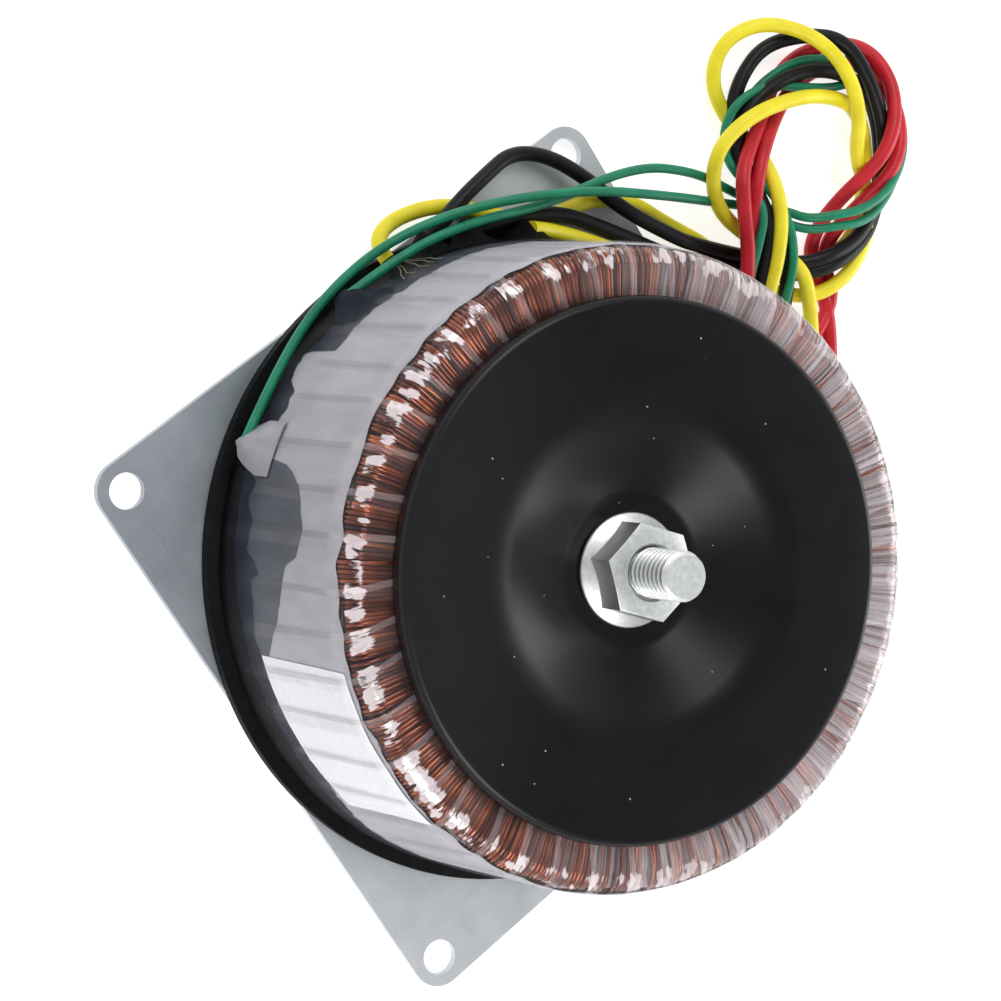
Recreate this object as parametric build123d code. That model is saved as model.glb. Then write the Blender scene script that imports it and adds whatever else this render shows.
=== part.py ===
from build123d import *
from math import cos, pi, radians, sin, tan
import os

# A toroidal power transformer clamped to a square mounting plate by one
# central bolt. Millimetres. The origin is the middle of the plate's
# underside, +Z points up the bolt and X and Y run along the plate's edges.

# Mounting plate: pressed sheet with a drawn cup that hides the bolt's head
HOLE_SPACING = 98.0
HOLE_DIAMETER = 6.0
HOLE_EDGE_MARGIN = 5.0
PLATE_SHEET = 1.5
CUP_HEIGHT = 9.2
CUP_RADIUS = 13.5
PAD_BORE_MARGIN = 0.6

# Rubber pads
BASE_PAD_THICKNESS = 2.0
BASE_PAD_MARGIN = 2.1
TOP_PAD_THICKNESS = 1.5
TOP_PAD_INSET = 2.5

# Strip-wound steel core
CORE_OUTER_RADIUS = 48.0
CORE_BORE_RADIUS = 25.0
CORE_HEIGHT = 33.7

# Build of each layer: at the outer wall, on top and below, and in the bore,
# where the same turns crowd on to a shorter circle
INSULATION_BUILD = (0.8, 0.8, 0.8)
PRIMARY_BUILD = (1.0, 1.9, 3.7)
TAPE_BUILD = (0.4, 0.4, 0.4)
SECONDARY_BUILD = (1.0, 1.5, 2.8)

# Corner rounds of the finished winding, and bevels of the layers inside it
WINDING_RIM_ROUND = 3.6
WINDING_BORE_ROUND = 12.0
PRIMARY_BORE_BEVEL = 5.0
RIM_FLAT_COUNT = 2
BORE_FLAT_COUNT = 3

# Turns of the secondary lie in bundles that open towards the rim
TURN_BUNDLES = 32
BUNDLE_GAP = 0.9
GAP_START_INSET = 16.0
INNER_LAYER_SIDES = TURN_BUNDLES // 2

# Insulating band and clear film round the side wall
BAND_TOP_BUILD = 0.3
BAND_BASE_BUILD = 1.7
BAND_END_INSET = 4.5
FILM_BUILD = 0.4
FILM_LAP = 0.35
FILM_END_INSET = 0.6
FILM_SHOULDER_INSET = 2.0
FILM_BASE_BEVEL = 1.8

# Dished cover disc
DISC_RADIUS = 43.3
DISC_SHEET = 1.5
DISC_LIP_DEPTH = 2.8
DISC_EDGE_BEVEL = 0.9
DISH_DEPTH = 6.2
SEAT_RADIUS = 12.0
DISH_MARGIN = 9.0

# M8 bolt and flange nut
THREAD_DIAMETER = 8.0
BOLT_CLEARANCE = 0.2
BOLT_HEAD_HEIGHT = 5.3
HEX_ACROSS_FLATS = 14.0
HEX_CHAMFER = 0.9
NUT_TURN = 40.0
NUT_HEIGHT = 7.4
NUT_FLANGE_DIAMETER = 18.4
NUT_FLANGE_EDGE = 1.4
STUD_PROJECTION = 9.8
STUD_CHAMFER = 0.6

# Flying leads: thin pair and thick pairs, with bared ends
THIN_LEAD = 1.65
THICK_LEAD = 2.65
THIN_STRAND = 0.9
THICK_STRAND = 1.4
LEAD_SIDES = 6
BEND_SHARE = 0.45

# Loose loop that the leads are gathered in
LOOP_CENTRE = (-24.5, 91.0)
LOOP_RADIUS = 17.0
LOOP_HALF_WIDTH = 6.0
LOOP_LOW = 0.2
LOOP_HIGH = 11.0
LOOP_SIDES = 16

# How far a cutting shape runs past what it cuts
CUT_OVERRUN = 1.0

# Heights and radii that follow from the sizes above
PLATE_SIDE = HOLE_SPACING + 2 * HOLE_EDGE_MARGIN
PLATE_TOP = PLATE_SHEET
WOUND_BASE = PLATE_TOP + BASE_PAD_THICKNESS
LAYERS = (SECONDARY_BUILD, TAPE_BUILD, PRIMARY_BUILD, INSULATION_BUILD)
CORE_BASE = WOUND_BASE + sum(build[1] for build in LAYERS)
CORE_TOP = CORE_BASE + CORE_HEIGHT
WOUND_TOP = CORE_TOP + sum(build[1] for build in LAYERS)
WINDING_RADIUS = CORE_OUTER_RADIUS + sum(build[0] for build in LAYERS)
WINDING_BORE = CORE_BORE_RADIUS * cos(pi / INNER_LAYER_SIDES) - sum(build[2] for build in LAYERS)
DISC_TOP = WOUND_TOP + TOP_PAD_THICKNESS + DISC_SHEET
DISH_RADIUS = WINDING_BORE + DISH_MARGIN
NUT_BASE = DISC_TOP - DISH_DEPTH
BOLT_TIP = NUT_BASE + NUT_HEIGHT + STUD_PROJECTION
BOLT_HOLE = THREAD_DIAMETER / 2 + BOLT_CLEARANCE
HEX_CORNER = HEX_ACROSS_FLATS / 2 / cos(pi / 6)


def turned(points):
    """Solid turned about Z from an outline of (radius, height) points."""
    outline = make_face(Plane.XZ * Polyline(*points, close=True))
    return revolve(outline, Axis.Z)


def corner_points(centre, radius, first, last, flats):
    """Points of a round corner that is made of a few straight flats."""
    angles = [radians(first + (last - first) * step / flats) for step in range(flats + 1)]
    return [(centre[0] + radius * cos(a), 0, centre[1] + radius * sin(a)) for a in angles]


def layer_section(outer, bore, low, high, bore_bevel):
    """Half section of a wrapped layer, with its corners bevelled in the bore."""
    points = [(outer, 0, low), (outer, 0, high), (bore, 0, high), (bore, 0, low)]
    if bore_bevel:
        points = [
            (outer, 0, low),
            (outer, 0, high),
            (bore + bore_bevel, 0, high),
            (bore, 0, high - bore_bevel),
            (bore, 0, low + bore_bevel),
            (bore + bore_bevel, 0, low),
        ]
    return make_face(Polyline(*points, close=True))


def winding_section():
    """Half section of the finished winding, with wide rounds at the bore."""
    rim = WINDING_RADIUS - WINDING_RIM_ROUND
    bore = WINDING_BORE + WINDING_BORE_ROUND
    rim_high = WOUND_TOP - WINDING_RIM_ROUND
    rim_low = WOUND_BASE + WINDING_RIM_ROUND
    bore_high = WOUND_TOP - WINDING_BORE_ROUND
    bore_low = WOUND_BASE + WINDING_BORE_ROUND
    points = [
        *corner_points((rim, rim_high), WINDING_RIM_ROUND, 0, 90, RIM_FLAT_COUNT),
        *corner_points((bore, bore_high), WINDING_BORE_ROUND, 90, 180, BORE_FLAT_COUNT),
        *corner_points((bore, bore_low), WINDING_BORE_ROUND, 180, 270, BORE_FLAT_COUNT),
        *corner_points((rim, rim_low), WINDING_RIM_ROUND, 270, 360, RIM_FLAT_COUNT),
    ]
    return make_face(Polyline(*points, close=True))


def faceted_ring(section, sides, reach, lap=0.0):
    """Ring of straight mitred segments, as tape and wire lie round a core.

    A lap turns each segment a little, so that one edge stands proud of its
    neighbour as a wrapped strip does.
    """
    half_turn = pi / sides
    half_width = reach * tan(half_turn)
    bar = extrude(section, half_width * 1.5, both=True)
    if lap:
        bar = Pos(reach, 0, 0) * Rot(0, 0, lap / half_width * 90 / pi) * Pos(-reach, 0, 0) * bar
    box = section.bounding_box()
    wedge_points = [(0, 0), (reach * 1.5, -half_width * 1.5), (reach * 1.5, half_width * 1.5)]
    wedge = extrude(
        Pos(0, 0, box.min.Z - CUT_OVERRUN) * make_face(Polyline(*wedge_points, close=True)),
        box.size.Z + 2 * CUT_OVERRUN,
    )
    segment = bar & wedge
    ring = segment
    segments = [Rot(0, 0, 360 / sides * step) * segment for step in range(1, sides)]
    return ring.fuse(*segments)


def layer_ring(buried, bore_bevel=0.0):
    """Solid ring out to the outside of the layers from LAYERS[buried] inwards."""
    inside = LAYERS[buried:]
    section = layer_section(
        CORE_OUTER_RADIUS + sum(build[0] for build in inside),
        CORE_BORE_RADIUS * cos(pi / INNER_LAYER_SIDES) - sum(build[2] for build in inside),
        CORE_BASE - sum(build[1] for build in inside),
        CORE_TOP + sum(build[1] for build in inside),
        bore_bevel,
    )
    ring = faceted_ring(section, INNER_LAYER_SIDES, CORE_OUTER_RADIUS)
    return Rot(0, 0, 180 / TURN_BUNDLES) * ring


def mounting_plate():
    """Square sheet with four holes and a cup drawn up in its middle."""
    sheet = extrude(RectangleRounded(PLATE_SIDE, PLATE_SIDE, HOLE_EDGE_MARGIN), PLATE_SHEET)
    cup_top = CUP_HEIGHT + PLATE_SHEET
    cup = turned(
        [
            (BOLT_HOLE, CUP_HEIGHT),
            (CUP_RADIUS - PLATE_SHEET, CUP_HEIGHT),
            (CUP_RADIUS - PLATE_SHEET, 0),
            (CUP_RADIUS, 0),
            (CUP_RADIUS, cup_top - PLATE_SHEET / 2),
            (CUP_RADIUS - PLATE_SHEET / 2, cup_top),
            (BOLT_HOLE, cup_top),
        ]
    )
    plate = sheet - Cylinder(CUP_RADIUS, 4 * PLATE_SHEET) + cup
    holes = GridLocations(HOLE_SPACING, HOLE_SPACING, 2, 2) * Cylinder(HOLE_DIAMETER / 2, 4 * PLATE_SHEET)
    return plate - holes


def washer(outer, bore, low, high):
    """Flat ring."""
    return turned([(bore, low), (outer, low), (outer, high), (bore, high)])


def base_pad():
    """Rubber ring under the winding, round the plate's cup."""
    bore = WINDING_BORE + PAD_BORE_MARGIN
    rim = WINDING_RADIUS + BAND_BASE_BUILD + FILM_BUILD + BASE_PAD_MARGIN
    return washer(rim, bore, PLATE_TOP, WOUND_BASE)


def core():
    """Ring of steel strip wound like a clock spring."""
    return washer(CORE_OUTER_RADIUS, CORE_BORE_RADIUS, CORE_BASE, CORE_TOP)


def core_insulation():
    """Tape wrapped over the bare core."""
    return layer_ring(3) - layer_ring(4)


def primary_ring():
    """Solid ring out to the outside of the primary."""
    return layer_ring(2, PRIMARY_BORE_BEVEL)


def tape_ring():
    """Solid ring out to the outside of the tape over the primary."""
    return layer_ring(1, PRIMARY_BORE_BEVEL)


def primary_winding():
    """Mains winding, with its layers crowded in the bore."""
    return primary_ring() - layer_ring(3)


def winding_tape():
    """Insulation between the two windings."""
    return tape_ring() - primary_ring()


def gap_cutter():
    """Narrow wedge between two bundles of turns, which opens to the rim."""
    start = WINDING_RADIUS - GAP_START_INSET
    end = WINDING_RADIUS + CUT_OVERRUN
    outline = [(start, 0), (end, -BUNDLE_GAP / 2), (end, BUNDLE_GAP / 2)]
    middle = (WOUND_BASE + WOUND_TOP) / 2
    return extrude(Pos(0, 0, middle) * make_face(Polyline(*outline, close=True)), WOUND_TOP)


def secondary_winding():
    """Outer winding of bunched turns, rounded over the rim and the bore."""
    body = faceted_ring(winding_section(), TURN_BUNDLES, WINDING_RADIUS)
    body -= tape_ring()
    step = 360 / TURN_BUNDLES
    cutters = [Rot(0, 0, step * (turn + 0.5)) * gap_cutter() for turn in range(TURN_BUNDLES)]
    return body - cutters


def wall_section(top_build, base_build, top_inset, base_inset):
    """Half section of a sleeve on the side wall, thicker towards the base."""
    low = WOUND_BASE + base_inset
    high = WOUND_TOP - top_inset
    points = [
        (WINDING_RADIUS, 0, low),
        (WINDING_RADIUS + base_build, 0, low),
        (WINDING_RADIUS + top_build, 0, high),
        (WINDING_RADIUS, 0, high),
    ]
    return make_face(Polyline(*points, close=True))


def wall_core():
    """Solid prism up to the winding's side wall."""
    prism = extrude(RegularPolygon(WINDING_RADIUS, TURN_BUNDLES, major_radius=False), 2 * WOUND_TOP)
    return Rot(0, 0, 180 / TURN_BUNDLES) * prism


def side_band():
    """Grey insulating tape round the side wall, over the lead joints."""
    section = wall_section(BAND_TOP_BUILD, BAND_BASE_BUILD, BAND_END_INSET, BAND_END_INSET)
    return faceted_ring(section, TURN_BUNDLES, WINDING_RADIUS)


def film_wrap():
    """Clear film round the band: lapped strips from base to shoulder."""
    low = WOUND_BASE + FILM_END_INSET
    high = WOUND_TOP - FILM_SHOULDER_INSET
    base = WINDING_RADIUS + BAND_BASE_BUILD + FILM_BUILD
    top = WINDING_RADIUS + BAND_TOP_BUILD + FILM_BUILD
    outline = [
        (WINDING_RADIUS - FILM_BUILD, 0, low),
        (base - FILM_BASE_BEVEL, 0, low),
        (base, 0, low + FILM_BASE_BEVEL),
        (top, 0, high),
        (WINDING_RADIUS - FILM_BUILD, 0, high),
    ]
    wrap = faceted_ring(make_face(Polyline(*outline, close=True)), TURN_BUNDLES, base, lap=FILM_LAP)
    return wrap - wall_core() - side_band()


def top_pad():
    """Rubber ring between the winding and the flat of the cover disc."""
    return washer(DISC_RADIUS - TOP_PAD_INSET, DISH_RADIUS, WOUND_TOP, WOUND_TOP + TOP_PAD_THICKNESS)


def cover_disc():
    """Pressed steel disc with a dish for the nut and a turned-down lip."""
    under = DISC_TOP - DISC_SHEET
    inner = DISC_RADIUS - DISC_SHEET
    return turned(
        [
            (BOLT_HOLE, DISC_TOP - DISH_DEPTH),
            (SEAT_RADIUS, DISC_TOP - DISH_DEPTH),
            (DISH_RADIUS, DISC_TOP),
            (DISC_RADIUS - DISC_EDGE_BEVEL, DISC_TOP),
            (DISC_RADIUS, DISC_TOP - DISC_EDGE_BEVEL),
            (DISC_RADIUS, DISC_TOP - DISC_LIP_DEPTH),
            (inner, DISC_TOP - DISC_LIP_DEPTH),
            (inner, under),
            (DISH_RADIUS, under),
            (SEAT_RADIUS, under - DISH_DEPTH),
            (BOLT_HOLE, under - DISH_DEPTH),
        ]
    )


def hexagon_bar(low, height):
    """Hexagon bar with its end corners chamfered at 30 degrees."""
    bar = extrude(Pos(0, 0, low) * RegularPolygon(HEX_CORNER, 6), height)
    drop = HEX_CHAMFER * tan(radians(30))
    chamfered = turned(
        [
            (0, low),
            (HEX_CORNER, low),
            (HEX_CORNER, low + height - drop),
            (HEX_CORNER - HEX_CHAMFER, low + height),
            (0, low + height),
        ]
    )
    return bar & chamfered


def centre_bolt():
    """Hexagon bolt, head down in the plate's cup, its tip above the nut."""
    head = hexagon_bar(CUP_HEIGHT - BOLT_HEAD_HEIGHT, BOLT_HEAD_HEIGHT)
    head = Pos(0, 0, 2 * CUP_HEIGHT - BOLT_HEAD_HEIGHT) * Rot(180, 0, 0) * head
    shank = turned(
        [
            (0, CUP_HEIGHT),
            (THREAD_DIAMETER / 2, CUP_HEIGHT),
            (THREAD_DIAMETER / 2, BOLT_TIP - STUD_CHAMFER),
            (THREAD_DIAMETER / 2 - STUD_CHAMFER, BOLT_TIP),
            (0, BOLT_TIP),
        ]
    )
    return head + shank


def flange_nut():
    """Hexagon nut on a round flange."""
    flange = Cylinder(NUT_FLANGE_DIAMETER / 2, NUT_FLANGE_EDGE)
    hexagon = Rot(0, 0, NUT_TURN) * hexagon_bar(NUT_BASE, NUT_HEIGHT)
    nut = hexagon + Pos(0, 0, NUT_BASE + NUT_FLANGE_EDGE / 2) * flange
    return nut - Pos(0, 0, NUT_BASE) * Cylinder(THREAD_DIAMETER / 2, 4 * NUT_HEIGHT)


def bend_radii(points):
    """Radius at each corner of a route, as large as its two runs allow."""
    found = []
    for before, here, after in zip(points, points[1:], points[2:]):
        arriving = Vector(*here) - Vector(*before)
        leaving = Vector(*after) - Vector(*here)
        half_turn = radians(arriving.get_angle(leaving)) / 2
        found.append(BEND_SHARE * min(arriving.length, leaving.length) / tan(half_turn))
    return found


def tube(name, points, diameter):
    """Lead along a route, six-sided so that its many bends stay light."""
    radii = bend_radii(points)
    path = FilletPolyline(*points, radius=radii)
    start = Plane(origin=path @ 0, z_dir=path % 0)
    section = RegularPolygon(diameter / 2, LEAD_SIDES)
    lead = sweep(start * section, path=path)
    share = lead.volume / (section.area * path.length)
    print(name, "length", round(path.length, 1), "radii", [round(r, 1) for r in radii],
          "volume share", round(share, 4))
    return lead


def straight(points, diameter):
    """Short straight stretch of a lead."""
    start, end = Vector(*points[0]), Vector(*points[1])
    plane = Plane(origin=start, z_dir=end - start)
    return extrude(plane * RegularPolygon(diameter / 2, LEAD_SIDES), (end - start).length)


def strand(points, lead_diameter, strand_diameter):
    """Bared and tinned end, in line with the end of its lead."""
    start, end = Vector(*points[0]), Vector(*points[1])
    plane = Plane(origin=end, z_dir=end - start)
    return extrude(plane * RegularPolygon(strand_diameter / 2, LEAD_SIDES), 2 * lead_diameter)


def lead_loop():
    """Outer shape of the loose loop that gathers every lead."""
    middle = (LOOP_LOW + LOOP_HIGH) / 2
    section = Rectangle(2 * LOOP_HALF_WIDTH, LOOP_HIGH - LOOP_LOW)
    section = chamfer(section.vertices(), LOOP_HALF_WIDTH / 2)
    section = Plane.XZ * Pos(LOOP_RADIUS, middle) * section
    ring = faceted_ring(section, LOOP_SIDES, LOOP_RADIUS)
    return Pos(LOOP_CENTRE[0], LOOP_CENTRE[1], 0) * ring


# Routes of the leads in order: where each leaves the side wall, then its way
# along the wall and over the plate's edge into the loop
RUNS = {
    "green_lead_1": [
        (-45.5, -31.0, 9.5),
        (-52.5, -17.0, 7.5),
        (-57.0, -2.5, 7.5),
        (-57.5, 11.5, 9.2),
        (-53.5, 26.5, 10.6),
        (-44.5, 44.5, 10.8),
        (-34.5, 58.0, 8.8),
        (-24.5, 70.5, 6.0),
    ],
    "green_lead_2": [
        (-54.8, -2.5, 10.4),
        (-55.2, 9.5, 11.2),
        (-51.9, 23.7, 10.4),
        (-46.2, 37.0, 8.4),
        (-42.0, 56.0, 8.2),
        (-34.0, 66.5, 6.6),
        (-26.5, 72.0, 4.6),
    ],
    "yellow_lead_1": [
        (-54.6, 8.3, 6.6),
        (-57.9, 8.4, 5.0),
        (-58.9, 14.5, 3.0),
        (-55.6, 24.2, 3.0),
        (-47.5, 31.8, 3.0),
        (-42.4, 38.8, 3.0),
        (-40.9, 47.5, 3.0),
        (-36.2, 54.6, 3.0),
        (-27.5, 58.6, 3.0),
        (-20.5, 70.0, 3.0),
    ],
    "yellow_lead_2": [
        (-44.4, 32.9, 8.4),
        (-41.0, 37.9, 5.4),
        (-31.5, 46.0, 5.2),
        (-21.5, 52.7, 4.7),
        (-10.5, 63.0, 3.4),
        (-8.3, 76.0, 3.4),
    ],
    "black_lead_1": [
        (-52.8, 16.0, 5.6),
        (-55.0, 24.0, 6.3),
        (-55.8, 32.0, 5.6),
        (-56.0, 39.0, 4.4),
        (-51.5, 44.8, 4.2),
        (-44.5, 48.2, 5.6),
        (-36.5, 50.8, 6.2),
        (-26.5, 57.4, 5.2),
        (-18.0, 65.8, 3.8),
        (-16.2, 73.0, 3.2),
    ],
    "black_lead_2": [
        (-50.0, 23.6, 6.6),
        (-46.3, 37.5, 6.4),
        (-33.2, 48.4, 4.9),
        (-22.8, 56.2, 3.6),
        (-14.5, 64.5, 2.6),
        (-11.4, 75.2, 2.2),
    ],
    "red_lead_1": [
        (40.6, 38.2, 8.5),
        (34.0, 49.0, 6.5),
        (23.5, 61.5, 3.4),
        (12.5, 73.8, 1.6),
        (2.5, 80.2, 2.0),
        (-5.0, 84.5, 2.6),
    ],
    "red_lead_2": [
        (32.6, 45.4, 8.5),
        (24.0, 53.5, 5.0),
        (15.5, 61.5, 2.0),
        (7.0, 70.0, 1.5),
        (0.5, 75.8, 1.5),
        (-5.0, 80.0, 1.5),
    ],
}

# Where each lead leaves the loop, and where its covering ends
TAILS = {
    "green_lead_1": [(-16.1, 72.8, 9.4), (-11.4, 61.6, 8.8)],
    "green_lead_2": [(-7.0, 75.7, 9.4), (-1.9, 64.0, 8.8)],
    "yellow_lead_1": [(-9.8, 74.5, 9.4), (-4.9, 62.6, 8.8)],
    "yellow_lead_2": [(-5.5, 79.5, 5.2), (5.5, 73.5, 4.8)],
    "black_lead_1": [(-13.3, 73.6, 9.2), (-8.5, 61.6, 8.8)],
    "black_lead_2": [(-5.6, 77.0, 7.1), (1.2, 65.5, 6.4)],
    "red_lead_1": [(-22.4, 72.0, 9.2), (-18.2, 62.5, 9.4)],
    "red_lead_2": [(-18.9, 72.4, 9.2), (-14.5, 62.0, 9.2)],
}


def lead_pieces():
    """Free run, tail and bared strand of every lead."""
    pieces = {}
    for name, route in RUNS.items():
        thin = name.startswith("green")
        diameter = THIN_LEAD if thin else THICK_LEAD
        strand_diameter = THIN_STRAND if thin else THICK_STRAND
        pieces[name + "_run"] = tube(name, route, diameter)
        pieces[name + "_tail"] = straight(TAILS[name], diameter)
        pieces[name + "_strand"] = strand(TAILS[name], diameter, strand_diameter)
    return pieces


def write(name, piece):
    """Write one sub-part under its node's name."""
    export_step(piece, f"parts/{name}.step")


def main():
    os.makedirs("parts", exist_ok=True)
    pieces = {
        "mounting_plate": mounting_plate(),
        "base_pad": base_pad(),
        "core": core(),
        "core_insulation": core_insulation(),
        "primary_winding": primary_winding(),
        "winding_tape": winding_tape(),
        "secondary_winding": secondary_winding(),
        "side_band": side_band(),
        "film_wrap": film_wrap(),
        "top_pad": top_pad(),
        "cover_disc": cover_disc(),
        "centre_bolt": centre_bolt(),
        "flange_nut": flange_nut(),
        "lead_coil": lead_loop(),
        **lead_pieces(),
    }
    for name, piece in pieces.items():
        write(name, piece)


main()
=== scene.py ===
import math
import random

import bpy
from mathutils import Matrix, Vector, noise

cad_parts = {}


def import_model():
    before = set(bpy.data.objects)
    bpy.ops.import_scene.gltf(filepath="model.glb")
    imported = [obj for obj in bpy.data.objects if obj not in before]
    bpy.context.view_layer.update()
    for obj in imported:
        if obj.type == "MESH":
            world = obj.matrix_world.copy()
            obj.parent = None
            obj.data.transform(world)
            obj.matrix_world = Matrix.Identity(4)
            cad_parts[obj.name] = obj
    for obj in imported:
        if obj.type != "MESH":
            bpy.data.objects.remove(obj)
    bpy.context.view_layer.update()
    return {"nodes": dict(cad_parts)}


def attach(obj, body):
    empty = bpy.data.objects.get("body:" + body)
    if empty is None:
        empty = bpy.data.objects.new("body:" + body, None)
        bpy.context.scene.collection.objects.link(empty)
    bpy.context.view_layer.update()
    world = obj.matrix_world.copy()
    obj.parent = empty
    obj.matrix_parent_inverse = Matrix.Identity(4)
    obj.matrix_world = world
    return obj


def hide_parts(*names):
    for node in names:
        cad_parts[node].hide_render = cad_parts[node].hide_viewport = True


# Looks of the toroidal transformer. The object's lengths are millimetres in the row
# frame, which the helpers turn into metres. The camera, the lights and the floor are
# in metres. Angles are degrees.
MM = 0.001
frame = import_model()
nodes = frame["nodes"]

# Sizes that the pieces share, in step with the part's source
WOUND_BASE = 3.5
WOUND_TOP = 46.4
WINDING_RADIUS = 51.2
WINDING_BORE = 16.8
RIM_ROUND = 3.6
SHOULDER_CENTRE = (WINDING_RADIUS - RIM_ROUND, WOUND_TOP - RIM_ROUND)
WALL_RADIUS = 53.0
DISC_TOP = 49.4
DISC_RADIUS = 43.3
DISC_SHEET = 1.5
DISC_LIP = 2.8
SEAT_RADIUS = 12.0
SEAT_TOP = 43.2
DISH_RADIUS = 25.8
NUT_TOP = 50.6
BOLT_TIP = 60.4
GREEN_LEAD, THICK_LEAD = 1.65, 2.65
GREEN_STRAND, THICK_STRAND = 0.9, 1.4


# Mesh helpers

def hang(name, data):
    """Object that rides on the root body."""
    piece = bpy.data.objects.new(name, data)
    bpy.context.scene.collection.objects.link(piece)
    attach(piece, "root")
    return piece


def add_mesh(name, points, faces, material, uvs=None):
    """Smooth mesh object from points in millimetres."""
    mesh = bpy.data.meshes.new(name)
    mesh.from_pydata([Vector(p) * MM for p in points], [], faces)
    if uvs:
        layer = mesh.uv_layers.new(name="UVMap")
        for loop in mesh.loops:
            layer.data[loop.index].uv = uvs[loop.vertex_index]
    mesh.polygons.foreach_set("use_smooth", [True] * len(mesh.polygons))
    mesh.materials.append(material)
    mesh.update()
    return hang(name, mesh)


def add_tubes(name, routes, radius, steps, roundness, material):
    """Round tubes along open splines, one for each route of control points."""
    curve = bpy.data.curves.new(name, "CURVE")
    curve.dimensions = "3D"
    for route in routes:
        spline = curve.splines.new("NURBS")
        spline.points.add(len(route) - 1)
        for point, (x, y, z) in zip(spline.points, route):
            point.co = (x * MM, y * MM, z * MM, 1)
            point.radius = radius * MM
        spline.order_u = 3
        spline.use_endpoint_u = True
        spline.resolution_u = steps
    # The points carry the radius, so that the curve's box keeps to the tubes
    curve.bevel_depth = 1.0
    curve.bevel_resolution = roundness
    curve.use_fill_caps = True
    curve.materials.append(material)
    return hang(name, curve)


def grid_faces(columns, rows, close_columns, close_rows=False):
    """Quads of a grid of points stored column by column."""
    faces = []
    for c in range(columns if close_columns else columns - 1):
        here, there = c * rows, (c + 1) % columns * rows
        for r in range(rows if close_rows else rows - 1):
            up = (r + 1) % rows
            faces.append((here + r, there + r, there + up, here + up))
    return faces


def ring_point(radius, angle, height):
    """Point from a radius, an angle and a height."""
    turn = math.radians(angle)
    return (radius * math.cos(turn), radius * math.sin(turn), height)


def lathe(name, profile, material, steps):
    """Body turned about Z from a closed profile of (radius, height) points."""
    points = [ring_point(r, 360 * s / steps, z) for s in range(steps) for r, z in profile]
    return add_mesh(name, points, grid_faces(steps, len(profile), True, True), material)


def arc(centre, radius, first, last, count):
    """Points along an arc in the radial plane."""
    found = []
    for step in range(count + 1):
        a = math.radians(first + (last - first) * step / count)
        found.append((centre[0] + radius * math.cos(a), centre[1] + radius * math.sin(a)))
    return found


def blend(x, low, high):
    """Smooth step from 0 at low to 1 at high."""
    t = min(max((x - low) / (high - low), 0), 1)
    return t * t * (3 - 2 * t)


def along(table, x):
    """Value at x between the pairs of a table sorted by x."""
    if x <= table[0][0]:
        return table[0][1]
    for (x0, y0), (x1, y1) in zip(table, table[1:]):
        if x <= x1:
            return y0 + (y1 - y0) * (x - x0) / (x1 - x0)
    return table[-1][1]


def wobble(angle, height, scale, seed=0.0):
    """Smooth noise on the side wall, the same on both sides of 0 degrees."""
    x, y, z = ring_point(WALL_RADIUS, angle, height)
    return noise.noise(Vector((x / scale, y / scale, z / scale + seed)))


# Material helpers

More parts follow.
